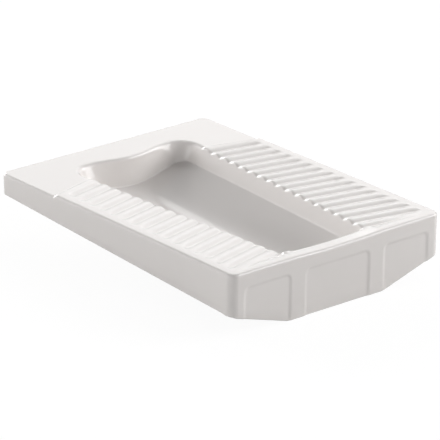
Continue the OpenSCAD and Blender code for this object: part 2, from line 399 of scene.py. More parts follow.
        # outlet corner and end edge
        link = line(mouth_side[-1], tail_arc[0], self.LINK_POINTS)
        rest = join(link, tail_arc, line(tail_arc[-1], (self.mouth_x1, 0), self.EDGE_POINTS))
        mouth.append(along(rest, m_corner + m_edge + 1))
        outer.append(arc((end_outer, self.half_w - rc), rc, 90, 0, m_corner + 1))
        outer.append(line((self.tail_x, self.half_w - rc), (self.tail_x, 0), m_edge + 1))
        self.outer = mirrored(join(*outer))
        self.mouth = mirrored(join(*mouth))
        self.out_n = normals(self.outer)
        self.in_n = -normals(self.mouth)
        self.run = unit(self.mouth - self.outer)

    def across(self, edge_n):
        """How squarely the stations run across an edge, from its normals in plan."""
        return np.maximum(np.abs((self.run * edge_n).sum(1)), self.LEAST_ACROSS)

    def outer_lines(self):
        """Lines that run along the outer outline: the top edge's rounding and the inner face."""
        p = self.p
        straight = np.abs(self.outer[:, 1]) < self.half_w - p.corner_r
        self.head = np.clip(-self.out_n[:, 0], 0, 1) ** 2
        self.tail = np.clip(self.out_n[:, 0], 0, 1) ** 2 * straight
        self.edge_in = self.outer + self.run * (p.edge_r / self.across(self.out_n))[:, None]
        self.inner = self.outer - self.out_n * (p.wall + p.head_lean * self.head)[:, None]

    def bowl_lines(self):
        """Lines that run along the mouth: its lip, its crease and the outside of its walls."""
        p, b, o = self.p, self.b, self.o
        tread = self.tread_share(*self.mouth.T, self.STEP_LEAD, self.CHANGE)
        beside = np.abs(self.mouth[:, 1]) > b.tail_w / 2 - self.END_CORNER
        self.lip_r = lerp(b.lip_deck, b.lip_tread, tread * beside)
        self.lip_out = self.mouth - self.run * (self.lip_r / self.across(self.in_n))[:, None]
        to_tail = np.clip(-self.in_n[:, 0], 0, 1) ** 2
        to_head = np.clip(self.in_n[:, 0], 0, 1) ** 2
        upright = to_head * (b.lean - self.BULGE_LEAN) * self.bulge(self.mouth[:, 1]) / b.bulge_d
        lean = b.lean + (b.tail_lean - b.lean) * to_tail - upright
        self.crease = self.mouth + self.in_n * lean[:, None]
        self.drain = np.array((self.outlet_x, 0.0))
        self.spoke = unit(self.crease - self.drain)
        wall_foot = self.mouth + self.in_n * (lean - self.WALL_SHARE * p.wall)[:, None]
        reach = np.linalg.norm(wall_foot - self.drain, axis=1)
        reach = np.maximum(reach, o.shoulder_r + self.SHOULDER_OUT)
        self.shell_low = self.drain + unit(wall_foot - self.drain) * reach[:, None]
        self.shell_high = self.mouth - self.in_n * p.wall

    # heights --------------------------------------------------------

    def crest_z(self, y):
        """Height of the plane that the rib crests lie in, and of the border."""
        fall = np.maximum(0, self.inner_half - np.abs(y))
        return self.border_z - fall * math.tan(self.t.tilt)

    def tread_share(self, x, y, lead, over):
        """0 on the deck and 1 on the treads, changing from a lead ahead of the first rib."""
        return smooth((self.rib_coord(x, y) - (self.rib_x0 - lead)) / over)

    def top_z(self, x, y):
        """Height of the top, as it would be without grooves."""
        b = self.b
        raised = self.tread_share(x, y, self.STEP_LEAD, self.t.step)
        z = lerp(self.p.deck_z, self.crest_z(y), raised)
        rim = self.border_z - b.rim_dip * np.clip(1 - (np.abs(y) / (b.tail_w / 2)) ** 2, 0, 1)
        return lerp(z, rim, self.rim(x, y))

    def rim(self, x, y):
        """1 on the end rim and 0 on the treads, with the slope between them."""
        t, b = self.t, self.b
        slope_up = smooth((x - (self.tail_x - t.run_out - self.RIM_LEVEL)) / t.run_out)
        beside = smooth((b.tail_w / 2 + self.RIM_REACH - np.abs(y)) / self.RIM_SOFT_Y)
        behind = smooth((x - (self.mouth_x1 - self.RIM_REACH)) / self.RIM_SOFT_X)
        return 1 - (1 - slope_up) * (1 - beside * behind)

    def low_z(self, x, y):
        """Height of the skirts' lower edge."""
        p = self.p
        head_z = p.deck_z - p.head_skirt
        side = lerp(head_z, p.tail_lift, (x - self.head_x) / (self.tail_x - self.head_x))
        half_foot = p.end_foot / 2
        end = p.tail_lift * np.maximum(0, np.abs(y) - half_foot) / (self.half_w - half_foot)
        return lerp(side, end, smooth((x - (self.tail_x - p.corner_r - p.wall)) / p.wall))

    def floor_z(self, x, y):
        """Height of the bowl's floor."""
        b = self.b
        x_h = self.mouth_x0 + b.bulge_d
        depth = lerp(b.floor_head, b.floor_tail, (x - x_h) / (self.outlet_x - x_h))
        half = self.mouth_half(x) - b.lean
        a = b.trough
        r = np.abs(y) / half
        v = (np.sqrt(r * r + a * a) - a) / (math.sqrt(1 + a * a) - a)
        return self.p.deck_z - lerp(depth, b.crease, v)

    def under_z(self, x, y):
        """Height of the bowl's underside, kept above the outlet's shoulder."""
        below = self.floor_z(x, y) - self.FLOOR_SHARE * self.p.wall
        return np.maximum(below, self.o.shoulder_z + self.SHOULDER_UP)

    def deck_low(self, x, y):
        """Height of the underside of the deck and the treads."""
        thick = self.tread_share(x, y, self.THICK_LEAD, self.CHANGE)
        return self.p.deck_z - lerp(self.p.deck_t, self.p.tread_t, thick)

    def panel(self, y, z):
        """How deep the end face is sunk at a place, from 0 to 1."""
        p = self.p
        top = p.deck_z - p.panel_drop
        mid = p.panel_mid / 2
        start, end = mid + p.pillar, self.half_w - p.post
        spans = ((0, mid), ((start + end) / 2, (end - start) / 2))
        sunk = np.zeros_like(y)
        for centre, half in spans:
            dy = np.abs(np.abs(y) - centre) - (half - p.panel_r)
            dz = z - (top - p.panel_r)
            out = np.hypot(np.maximum(dy, 0), np.maximum(dz, 0))
            inside = np.minimum(np.maximum(dy, dz), 0)
            sunk = np.maximum(sunk, smooth(0.5 - (out + inside - p.panel_r) / p.panel_soft))
        return sunk


# ---------------------------------------------------------------- the pan's mesh

class RingMesh:
    """A closed tube of rings, each with as many points as its neighbour or half as many."""

    WEIGHTS = ("drop", "on_wall", "bare", "rim")

    def __init__(self):
        self.rings, self.weights = [], []

    def add(self, xy, z, **weights):
        """Adds a ring, with the weights that the ribs and the glaze read."""
        self.rings.append(np.column_stack([xy, np.broadcast_to(z, len(xy))]))
        self.weights.append([np.broadcast_to(weights.get(w, 0.0), len(xy)) for w in self.WEIGHTS])

    def add_points(self, points, **weights):
        """Adds a ring whose points have their heights with them."""
        self.add(points[:, :2], points[:, 2], **weights)

    def faces(self):
        """Faces between each ring and the next, and from the last to the first."""
        starts = np.cumsum([0] + [len(ring) for ring in self.rings])
        faces = []
        for k, ring in enumerate(self.rings):
            after = (k + 1) % len(self.rings)
            a, b = starts[k], starts[after]
            n, m = len(ring), len(self.rings[after])
            if n == m:
                i = np.arange(n)
                j = (i + 1) % n
                faces += np.stack([a + i, b + i, b + j, a + j], 1).tolist()
                continue
            fine, coarse, size = (a, b, n) if n > m else (b, a, m)
            for c in range(size // 2):
                f0, f1, f2 = (int(fine + (2 * c + step) % size) for step in range(3))
                c0, c1 = int(coarse + c), int(coarse + (c + 1) % (size // 2))
                made = [(f0, c0, f1), (f1, c0, c1), (f1, c1, f2)]
                faces += made if n > m else [triangle[::-1] for triangle in made]
        return faces

    def build(self, name):
        """The mesh, with its weights as point attributes."""
        mesh = bpy.data.meshes.new(name)
        mesh.from_pydata(np.concatenate(self.rings).tolist(), [], self.faces())
        for k, weight in enumerate(self.WEIGHTS):
            values = np.concatenate([w[k] for w in self.weights]).astype(np.float32)
            mesh.attributes.new(weight, "FLOAT", "POINT").data.foreach_set("value", values)
        mesh.shade_smooth()
        return mesh


def bend(start, corner, end, t):
    """A point on the curve that rounds a corner."""
    return (1 - t) ** 2 * start + 2 * t * (1 - t) * corner + t * t * end


def quarter(angle):
    """How far a quarter round has come in and gone up at an angle in degrees."""
    turn = math.radians(angle)
    return 1 - math.cos(turn), 1 - math.sin(turn)


# rings up the skirts, close together at the panels' upper edges
SKIRT_LEVELS = (0, 0.2, 0.4, 0.54, 0.62, 0.665, 0.7, 0.725, 0.75, 0.77, 0.79, 0.82, 0.9, 0.96, 1)
# rings from the outer edge to the mouth, close together where the grooves end and at the mouth
TOP_STEPS = np.concatenate([
    np.linspace(0, 0.34, 20)[:-1], np.linspace(0.34, 0.93, 12)[:-1], np.linspace(0.93, 1, 5),
])
# how far below the lip the grooves fade out on the wall, in millimetres
GROOVE_REACH = (0, 2, 4, 7, 11)
# rings under the bowl from the outlet's shoulder outwards, the first one close to it
UNDER_STEPS = np.concatenate([[0.012], np.linspace(0.07, 1, 12)])
# the floor's rings stand a little closer together towards the outlet
FLOOR_SPACING = 0.9
# below the grooves, inside the bowl and under the pan, the rings have half as many points
EVERY_SECOND = slice(None, None, 2)


def outer_rings(form, grid):
    """The lower edge, the outer face of the skirts and the outer top edge."""
    p = form.p
    low_z = form.low_z(*form.outer.T)
    edge_z = form.top_z(*form.edge_in.T)

    def face(z, inward=0.0):
        """Plan of the outer face at a height, with its lean and its sunk panels."""
        lean = p.head_lean * form.head * (edge_z - z) / p.head_skirt
        sunk = p.panel_d * form.tail * form.panel(form.outer[:, 1], z)
        return form.outer - form.out_n * (lean + sunk + inward)[:, None]

    for angle in (90, 60, 30):
        inward, up = quarter(angle)
        z = low_z + p.foot_r * up
        grid.add(face(low_z, p.foot_r * inward), z, bare=1.0 if angle == 90 else 0.0)
    for level in SKIRT_LEVELS:
        z = lerp(low_z + p.foot_r, edge_z - p.edge_r, level)
        grid.add(face(z), z)
    for angle in (18, 36, 54, 72):
        inward, down = quarter(angle)
        grid.add(lerp(form.outer, form.edge_in, inward), edge_z - p.edge_r * down)


def top_rings(form, grid):
    """The deck, the borders and the treads, as they would be without grooves."""
    for step in TOP_STEPS:
        xy = lerp(form.edge_in, form.lip_out, step)
        grid.add(xy, form.top_z(*xy.T), drop=1.0, rim=form.rim(*xy.T))


def bowl_rings(form, grid):
    """The lip of the mouth, the walls, the crease and the floor down to the outlet."""
    b, o = form.b, form.o
    rim = form.rim(*form.mouth.T)
    lip, edge = lifted(form.lip_out, form.top_z), lifted(form.mouth, form.top_z)
    crease = lifted(form.crease, form.floor_z)
    fall = unit(crease - edge)
    wall_top = edge + fall * form.lip_r[:, None]
    for t in (0.2, 0.4, 0.6, 0.8):
        grid.add_points(bend(lip, edge, wall_top, t), drop=1.0, on_wall=t, rim=rim)
    for below in GROOVE_REACH:
        drop = 1 - below / GROOVE_REACH[-1]
        grid.add_points(wall_top + fall * below * MM, drop=drop, on_wall=1.0, rim=rim)
    groove_end, wall_end = wall_top + fall * GROOVE_REACH[-1] * MM, crease - fall * b.crease_r
    for t in (0.3, 0.6, 1.0):
        grid.add_points(lerp(groove_end, wall_end, t)[EVERY_SECOND])
    circle = form.drain + form.spoke * (o.bore_r + o.bore_lip)
    start = form.crease + unit(circle - form.crease) * b.crease_r
    floor_start = lifted(start, form.floor_z)
    for t in (0.25, 0.5, 0.75):
        grid.add_points(bend(wall_end, crease, floor_start, t)[EVERY_SECOND])
    for t in np.linspace(0, 1, form.FLOOR_RINGS) ** FLOOR_SPACING:
        grid.add_points(lifted(lerp(start, circle, t)[EVERY_SECOND], form.floor_z))


def outlet_rings(form, grid):
    """The bore, the spigot's end and outside, and the shoulder that the seal sits under."""
    o = form.o
    ways = form.spoke[EVERY_SECOND]
    circle = form.drain + ways * (o.bore_r + o.bore_lip)
    rim_z = form.floor_z(*circle.T)
    for angle in (68, 45, 22, 0):
        outward, down = quarter(angle)
        grid.add(form.drain + ways * (o.bore_r + o.bore_lip * outward), rim_z - o.bore_lip * down)
    soft, glaze_end = 1 * MM, o.spigot_z + 8 * MM
    profile = (
        (o.bore_r, glaze_end, 0.0), (o.bore_r, o.spigot_z + soft, 1.0),
        (o.bore_r + soft, o.spigot_z, 1.0), (o.spigot_r - soft, o.spigot_z, 1.0),
        (o.spigot_r, o.spigot_z + soft, 1.0), (o.spigot_r, o.shoulder_z - soft, 1.0),
        (o.spigot_r + soft, o.shoulder_z, 1.0), (o.shoulder_r - soft, o.shoulder_z, 1.0),
        (o.shoulder_r, o.shoulder_z + soft, 1.0),
    )
    for radius, z, bare in profile:
        grid.add(form.drain + ways * radius, z, bare=bare)


def under_rings(form, grid):
    """The underside of the bowl, the outside of its walls, and the inside of the skirts."""
    p, o = form.p, form.o
    soft = 4 * MM
    around = form.drain + form.spoke * o.shoulder_r
    for t in UNDER_STEPS:
        xy = lerp(around, form.shell_low, t)[EVERY_SECOND]
        grid.add_points(lifted(xy, form.under_z), bare=1.0)
    deck_low = form.deck_low(*form.mouth.T)
    low = lifted(form.shell_low, form.under_z)
    high = np.column_stack([form.shell_high, deck_low - soft])
    for t in (0.33, 0.66, 1.0):
        grid.add_points(lerp(low, high, t)[EVERY_SECOND], bare=1.0)
    for t in (0.05, 0.35, 0.65, 0.95):
        xy = lerp(form.shell_high, form.inner, t)[EVERY_SECOND]
        grid.add_points(lifted(xy, form.deck_low), bare=1.0)
    low_z = form.low_z(*form.outer.T)
    for t in (0.0, 0.5, 1.0):
        ring = np.column_stack([form.inner, lerp(deck_low - soft, low_z + p.foot_r, t)])
        grid.add_points(ring[EVERY_SECOND], bare=1.0)
    for angle in (45, 90):
        outward, up = quarter(angle)
        xy = form.inner + form.out_n * (p.foot_r * outward)
        ring = np.column_stack([xy, low_z + p.foot_r * up])
        grid.add_points(ring[EVERY_SECOND], bare=1.0)


# how much the foot widens to each side as it rises, half the width over which its top follows
# the bowl's floor, how far below the floor that is, and the points across it
FOOT_SPREAD = 11 / 74
FOOT_TOP_HALF = 79 * MM
FOOT_BELOW_FLOOR = 5 * MM
FOOT_TOP_POINTS = 21


def foot_mesh(form):
    """The bearing foot under the bowl's head half, its top inside the bowl's wall."""
    o = form.o
    x = form.head_x + o.foot_back
    across = np.linspace(FOOT_TOP_HALF, -FOOT_TOP_HALF, FOOT_TOP_POINTS)
    top_z = form.floor_z(np.full_like(across, x), across) - FOOT_BELOW_FLOOR
    top = np.column_stack([across, top_z])
    half = o.foot_w / 2
    corner_z = float(top_z[0])
    corner_y = half + FOOT_SPREAD * corner_z
    outline = [(-half, 0.0), (half, 0.0), (corner_y, corner_z)] + top.tolist()[1:-1]
    outline.append((-corner_y, corner_z))
    mesh = bpy.data.meshes.new("foot")
    work = bmesh.new()
    ends = []
    for side in (-0.5, 0.5):
        ends.append([work.verts.new((x + side * o.foot_t, y, z)) for y, z in outline])
    count = len(outline)
    for i in range(count):
        j = (i + 1) % count
        work.faces.new((ends[0][i], ends[0][j], ends[1][j], ends[1][i]))
    work.faces.new(ends[0][::-1])
    work.faces.new(ends[1])
    bmesh.ops.recalc_face_normals(work, faces=work.faces)
    bmesh.ops.triangulate(work, faces=[f for f in work.faces if len(f.verts) > 4])
    work.to_mesh(mesh)
    work.free()
    bare = mesh.attributes.new("bare", "FLOAT", "POINT")
    bare.data.foreach_set("value", np.ones(len(mesh.vertices), np.float32))
    return mesh


def pan_mesh(form):
    """The casting, closed all round, smooth and without its grooves."""
    grid = RingMesh()
    outer_rings(form, grid)
    top_rings(form, grid)
    bowl_rings(form, grid)
    outlet_rings(form, grid)
    under_rings(form, grid)
    return grid.build("pan_smooth")


# ---------------------------------------------------------------- ribs, in Geometry Nodes

class Term:
    """A number in a node tree, so that its sums are written as plain sums."""

    def __init__(self, tree, socket):
        self.tree, self.socket = tree, socket

    def math(self, operation, *others):
        """This number and others through one Math node."""
        node = self.tree.nodes.new("ShaderNodeMath")
        node.operation = operation
        return self.through(node, enumerate((self, *others)))

    def through(self, node, given):
        """The number that a node puts out, with its inputs given as numbers or plain values."""
        for place, value in given:
            if isinstance(value, Term):
                self.tree.links.new(value.socket, node.inputs[place])
            else:
                node.inputs[place].default_value = value
        return Term(self.tree, node.outputs[0])

    def __add__(self, other):
        return self.math("ADD", other)

    def __sub__(self, other):
        return self.math("SUBTRACT", other)

    def __mul__(self, other):
        return self.math("MULTIPLY", other)

    def __truediv__(self, other):
        return self.math("DIVIDE", other)

    def ramp(self, start, end):
        """0 at start, 1 at end and a smooth ramp between."""
        node = self.tree.nodes.new("ShaderNodeMapRange")
        node.interpolation_type = "SMOOTHSTEP"
        return self.through(node, (("Value", self), ("From Min", start), ("From Max", end)))

    def rest(self):
        """What is left of 1 when this number is taken off."""
        return self * -1.0 + 1.0


def rib_inputs(form):
    """The tree's named inputs and the values that this pan gives them."""
    t, b = form.t, form.b
    return {
        "First rib": form.rib_x0, "Pitch": t.pitch, "Skew": t.skew, "Ribs": float(t.count),
        "Depth": t.depth, "Fall": t.fall, "Valley": t.valley,
        "Groove end": form.half_w - t.end_gap, "Fade": t.end_fade,
        "Wall lean": b.lean / b.crease, "Taper": form.slope,
        "Mouth half": b.head_w / 2 + form.slope * form.mouth_x0,
    }


# the last groove fades between these places, in pitches ahead of where the next rib would stand
LAST_FADE = (0.75, 0.1)


def rib_tree(form, material):
    """Geometry Nodes that press the grooves between the ribs into the treads."""
    tree = bpy.data.node_groups.new("Tread ribs", "GeometryNodeTree")
    tree.interface.new_socket("Geometry", in_out="INPUT", socket_type="NodeSocketGeometry")
    tree.interface.new_socket("Geometry", in_out="OUTPUT", socket_type="NodeSocketGeometry")
    names = {}
    for name in rib_inputs(form):
        socket = tree.interface.new_socket(name, in_out="INPUT", socket_type="NodeSocketFloat")
        names[name] = socket.identifier
    new, link = tree.nodes.new, tree.links.new
    entry, leave = new("NodeGroupInput"), new("NodeGroupOutput")
    given = {name: Term(tree, entry.outputs[name]) for name in names}

    def stored(name):
        """A weight that the mesh carries."""
        node = new("GeometryNodeInputNamedAttribute")
        node.data_type = "FLOAT"
        node.inputs["Name"].default_value = name
        return Term(tree, node.outputs["Attribute"])

    place = new("ShaderNodeSeparateXYZ")
    link(new("GeometryNodeInputPosition").outputs[0], place.inputs[0])
    x, y = Term(tree, place.outputs["X"]), Term(tree, place.outputs["Y"])
    out = y.math("ABSOLUTE")
    slant, level = given["Skew"].math("TANGENT"), given["Skew"].math("COSINE")
    along_mouth = (x - slant * out + slant * given["Mouth half"]) / (slant * given["Taper"] + 1.0)
    phase = (along_mouth - given["First rib"]) / given["Pitch"]
    step = given["Pitch"] * level

    # across runs from -0.5 at one crest through 0 in the valley to 0.5 at the next crest;
    # just behind the last valley it stays 0, because the last groove fades out there
    part, fall = phase.math("FRACT"), given["Fall"]
    falling, rising = part / (fall * 2.0), (part - fall) / (fall * -2.0 + 2.0) + 0.5
    across = falling.math("MINIMUM", rising) - 0.5
    across = across * phase.math("LESS_THAN", given["Ribs"] - 0.5)
    # the valleys end in a half round, and past is how far out in it a point lies
    past = (out - given["Groove end"] + step * 0.5) / (step * level)
    past = past.math("MAXIMUM", 0.0)
    edge = (across * across + past * past).math("SQRT").math("MINIMUM", 0.5)
    # the wave has round crests, and valleys that are narrower the smaller their roundness
    bow, soft = (edge * math.pi).math("SINE"), given["Valley"]
    raised = (bow * bow + soft * soft).math("SQRT") - soft
    sunk = (raised / ((soft * soft + 1.0).math("SQRT") - soft)).rest()
    sunk = sunk * phase.math("GREATER_THAN", 0.0)
    sunk = sunk * out.ramp(given["Groove end"], given["Groove end"] - given["Fade"])
    fade_start, fade_end = (given["Ribs"] - ahead for ahead in LAST_FADE)
    sunk = sunk * phase.ramp(fade_start, fade_end).rest() * stored("rim").rest()

    offset = new("ShaderNodeCombineXYZ")
    down = sunk * given["Depth"] * stored("drop") * -1.0
    inward = y.math("SIGN") * down * given["Wall lean"] * stored("on_wall")
    link(inward.socket, offset.inputs["Y"])
    link(down.socket, offset.inputs["Z"])
    # stores how deep each point lies in a groove, which the glaze reads to paint shade into the
    # grooves
    pool_and_groove_shade = new("GeometryNodeStoreNamedAttribute")
    pool_and_groove_shade.data_type, pool_and_groove_shade.domain = "FLOAT", "POINT"
    pool_and_groove_shade.inputs["Name"].default_value = "pool_and_groove_shade"
    link((sunk * stored("drop")).socket, pool_and_groove_shade.inputs["Value"])
    move = new("GeometryNodeSetPosition")
    link(offset.outputs[0], move.inputs["Offset"])
    whole, finish = new("GeometryNodeRealizeInstances"), new("GeometryNodeSetMaterial")
    finish.inputs["Material"].default_value = material
    chain = (entry, pool_and_groove_shade, move, whole, finish, leave)
    for node, after in zip(chain, chain[1:]):
        link(node.outputs["Geometry"], after.inputs["Geometry"])
    return tree, names


# ---------------------------------------------------------------- materials

def shader_group(name, inputs, outputs):
    """An empty shader node group with its named sockets."""
    group = bpy.data.node_groups.new(name, "ShaderNodeTree")
    for label, kind, value in inputs:
        socket = group.interface.new_socket(label, in_out="INPUT", socket_type=kind)
        if value is not None:
            socket.default_value = value
    for label, kind in outputs:
        group.interface.new_socket(label, in_out="OUTPUT", socket_type=kind)
    return group


def mottle_group():
    """Soft tone and gloss changes and a fine height, shared by the china and the rubber."""
    name = "Fired surface"
    if name in bpy.data.node_groups:
        return bpy.data.node_groups[name]
    number = "NodeSocketFloat"
    group = shader_group(
        name,
        [("Vector", "NodeSocketVector", None), ("Broad scale", number, 9.0),
         ("Fine scale", number, 160.0), ("Tone change", number, 0.02),
         ("Roughness", number, 0.1), ("Roughness change", number, 0.03),
         ("Broad height", number, 1.0), ("Fine height", number, 0.1)],
        [("Tone", number), ("Roughness", number), ("Height", number)],
    )
    new, link = group.nodes.new, group.links.new
    entry, leave = new("NodeGroupInput"), new("NodeGroupOutput")
    given = {socket.name: Term(group, socket) for socket in entry.outputs if socket.name}

    def noise(scale, detail):
        """Noise from 0 to 1 at one of the given scales."""
        node = new("ShaderNodeTexNoise")
        node.inputs["Detail"].default_value = detail
        link(entry.outputs["Vector"], node.inputs["Vector"])
        link(entry.outputs[scale], node.inputs["Scale"])
        return Term(group, node.outputs["Fac"])

    broad, fine = noise("Broad scale", 2.0), noise("Fine scale", 3.0)
    tone = (broad - 0.5) * given["Tone change"] * 2.0 + 1.0
    rough = (fine - 0.5) * given["Roughness change"] * 2.0 + given["Roughness"]
    height = broad * given["Broad height"] + fine * given["Fine height"]
    link(tone.socket, leave.inputs["Tone"])
    link(rough.socket, leave.inputs["Roughness"])
    link(height.socket, leave.inputs["Height"])
    return group


def new_material(name):
    """A material, its tree, its Principled shader and its fired surface on object coordinates."""
    material = bpy.data.materials.new(name)
    material.use_nodes = True
    tree = material.node_tree
    shader = next(n for n in tree.nodes if n.type == "BSDF_PRINCIPLED")
    coordinates = tree.nodes.new("ShaderNodeTexCoord")
    surface = tree.nodes.new("ShaderNodeGroup")
    surface.node_tree = mottle_group()
    tree.links.new(coordinates.outputs["Object"], surface.inputs["Vector"])
    return material, tree, shader, surface


def set_inputs(node, **values):
    """Sets plain values on a node's sockets; an underscore stands for a space."""
    for name, value in values.items():
        node.inputs[name.replace("_", " ")].default_value = value


def grey(tree, level):
    """The grey whose three channels take one level."""
    node = tree.nodes.new("ShaderNodeCombineColor")
    for channel in node.inputs:
        tree.links.new(level, channel)
    return node.outputs[0]


def finish_shader(tree, shader, skin, roughness, ior, height, relief):
    """Joins colour, roughness and a height with its relief in metres to the shader."""
    tree.links.new(skin, shader.inputs["Base Color"])
    tree.links.new(roughness, shader.inputs["Roughness"])
    shader.inputs["IOR"].default_value = ior
    bump = tree.nodes.new("ShaderNodeBump")
    set_inputs(bump, Strength=1.0, Distance=relief)
    tree.links.new(height, bump.inputs["Height"])
    tree.links.new(bump.outputs["Normal"], shader.inputs["Normal"])


def mix_colour(tree, blend, factor, first, second):
    """A Mix node for colours; each argument is a socket or a plain value."""
    node = tree.nodes.new("ShaderNodeMix")
    node.data_type, node.blend_type = "RGBA", blend
    sockets = [node.inputs[0], node.inputs[6], node.inputs[7]]
    for socket, value in zip(sockets, (factor, first, second)):
        if isinstance(value, bpy.types.NodeSocket):
            tree.links.new(value, socket)
        else:
            socket.default_value = value
    return node.outputs[2]


# share by which the glaze is painted darker in a groove, partly for thicker pooled glaze and
# partly as painted groove shade, and how much rougher the bare body is
GROOVE_SHADE_AND_POOL_TONE = 0.03
BARE_ROUGHNESS = 0.6
# the glaze gives way to the bare body while the stored weight rises from one to the other
BARE_EDGE = (0.2, 0.8)


def china_material(colour):
    """White glaze, slightly wavy, greyer in the grooves as pooled glaze and painted shade, and
    bare fired clay below.
    """
    material, tree, shader, surface = new_material("glazed_china")
    set_inputs(surface, Broad_scale=11.0, Fine_scale=420.0, Tone_change=0.012, Roughness=0.12,
               Roughness_change=0.03, Broad_height=1.0, Fine_height=0.012)

    def weight(name):
        """A weight that the mesh carries."""
        node = tree.nodes.new("ShaderNodeAttribute")
        node.attribute_name = name
        return Term(tree, node.outputs["Fac"])

    bare, pool_and_groove_shade = weight("bare").ramp(*BARE_EDGE), weight("pool_and_groove_shade")
    # the glaze is painted darker in the grooves: painted shade, with a little for the thicker
    # glaze there
    tone = Term(tree, surface.outputs["Tone"]) * (pool_and_groove_shade * -GROOVE_SHADE_AND_POOL_TONE + 1.0)
    shade = grey(tree, tone.socket)
    glaze = mix_colour(tree, "MULTIPLY", 1.0, (*colour.glaze, 1.0), shade)
    body = mix_colour(tree, "MULTIPLY", 1.0, (*colour.bare, 1.0), shade)
    skin = mix_colour(tree, "MIX", bare.socket, glaze, body)
    rough = Term(tree, surface.outputs["Roughness"]) + bare * BARE_ROUGHNESS
    finish_shader(tree, shader, skin, rough.socket, 1.52, surface.outputs["Height"], 0.22 * MM)
    return material


def rubber_material(colour):
    """Black seal rubber with a faint bloom and a moulded grain."""
    material, tree, shader, surface = new_material("seal_rubber")
    set_inputs(surface, Broad_scale=60.0, Fine_scale=1400.0, Tone_change=0.25, Roughness=0.62,
               Roughness_change=0.12, Broad_height=0.3, Fine_height=1.0)
    shade, rough = grey(tree, surface.outputs["Tone"]), surface.outputs["Roughness"]
    skin = mix_colour(tree, "MULTIPLY", 1.0, (*colour.rubber, 1.0), shade)
    finish_shader(tree, shader, skin, rough, 1.5, surface.outputs["Height"], 0.06 * MM)
    return material


# share of white glow that the camera sees on the floor; the rest shows the shadow
FLOOR_GLOW = 0.9


def floor_material():
    """A pale floor that the camera sees as white, with the object's shadow kept on it."""
    material = bpy.data.materials.new("studio_floor")
    material.use_nodes = True
    tree = material.node_tree
    tree.nodes.clear()
    new, link = tree.nodes.new, tree.links.new
    matt, glow = new("ShaderNodeBsdfDiffuse"), new("ShaderNodeEmission")
    mix, leave = new("ShaderNodeMixShader"), new("ShaderNodeOutputMaterial")
    matt.inputs["Color"].default_value = (0.8, 0.8, 0.8, 1.0)
    glow.inputs["Strength"].default_value = 1.05
    seen = Term(tree, new("ShaderNodeLightPath").outputs["Is Camera Ray"])
    link((seen * FLOOR_GLOW).socket, mix.inputs["Fac"])
    link(matt.outputs[0], mix.inputs[1])
    link(glow.outputs[0], mix.inputs[2])
    link(mix.outputs[0], leave.inputs["Surface"])
    return material


# ---------------------------------------------------------------- objects

def add_object(name, data):
    """An object in the scene, at the origin, from a mesh, a camera or a lamp."""
    made = bpy.data.objects.new(name, data)
    bpy.context.scene.collection.objects.link(made)
    return made


def plain_copy(piece):
    """Replaces a piece's mesh by what its modifiers make, and removes the modifiers."""
    graph = bpy.context.evaluated_depsgraph_get()
    mesh = bpy.data.meshes.new_from_object(
        piece.evaluated_get(graph), preserve_all_data_layers=True, depsgraph=graph
    )
    if not len(mesh.polygons):
        raise RuntimeError(f"{piece.name} came out empty")
    piece.modifiers.clear()
    piece.data = mesh
    mesh.name = piece.name


def make_pan(sizes):
    """The whole casting: its smooth form, its foot and its ribs."""
    form = PanForm(sizes)
    material = china_material(sizes.colour)
    piece = add_object("squat_pan", pan_mesh(form))
    foot = add_object("foot", foot_mesh(form))
    union = piece.modifiers.new("Foot", "BOOLEAN")
    union.operation, union.solver, union.object = "UNION", "MANIFOLD", foot
    tree, names = rib_tree(form, material)
    ribs = piece.modifiers.new("Tread ribs", "NODES")
    ribs.node_group = tree
    for name, value in rib_inputs(form).items():
        ribs[names[name]] = value
    plain_copy(piece)
    bpy.data.objects.remove(foot)
    piece.data.materials.clear()
    piece.data.materials.append(material)
    piece.data.shade_smooth()
    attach(piece, "root")
    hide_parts("pan")


# the seal's section: its gap to the spigot, its walls and its rounded or slanting edges
SEAL_GAP = 0.2 * MM
SLEEVE_WALL, FLANGE_WALL = 4 * MM, 4 * MM
SEAL_SOFT, LEAD_IN, FLANGE_ROOT = 0.8 * MM, 1.5 * MM, 1.2 * MM
# how far the fins stand out, and the room between them and the lower end and the flange
FIN_HEIGHT, FIN_FROM, FIN_TO = 0.7 * MM, 3 * MM, 2.5 * MM
# each fin's foot, the ends of its flat edge and its other foot, as heights from its place
FIN_LEVELS = (-1.4 * MM, -0.1 * MM, 0.4 * MM, 1.0 * MM)
SEAL_SIDES = 144


def seal_profile(o):
    """Radius and height of every corner round the seal's section."""
    outer = (SEAL_HIGH.x - SEAL_LOW.x) / 2
    low, high = SEAL_LOW.z, SEAL_HIGH.z
    inner, soft = o.spigot_r + SEAL_GAP, SEAL_SOFT
    sleeve = inner + SLEEVE_WALL
    body = sleeve - FIN_HEIGHT
    flange = high - FLANGE_WALL
    profile = [(inner, low + soft), (inner + soft, low)]
    profile += [(body - LEAD_IN, low), (body, low + LEAD_IN)]
    fins_low = low + FIN_FROM
    pitch = (flange - FIN_TO - fins_low) / o.seal_fins
    for fin in range(o.seal_fins):
        z = fins_low + pitch * (fin + 0.5)
        profile += [(r, z + up) for r, up in zip((body, sleeve, sleeve, body), FIN_LEVELS)]
    return profile + [
        (body, flange - FLANGE_ROOT), (body + FLANGE_ROOT, flange), (outer - soft, flange),
        (outer, flange + soft), (outer, high - soft), (outer - soft, high),
        (inner + soft, high), (inner, high - soft),
    ]


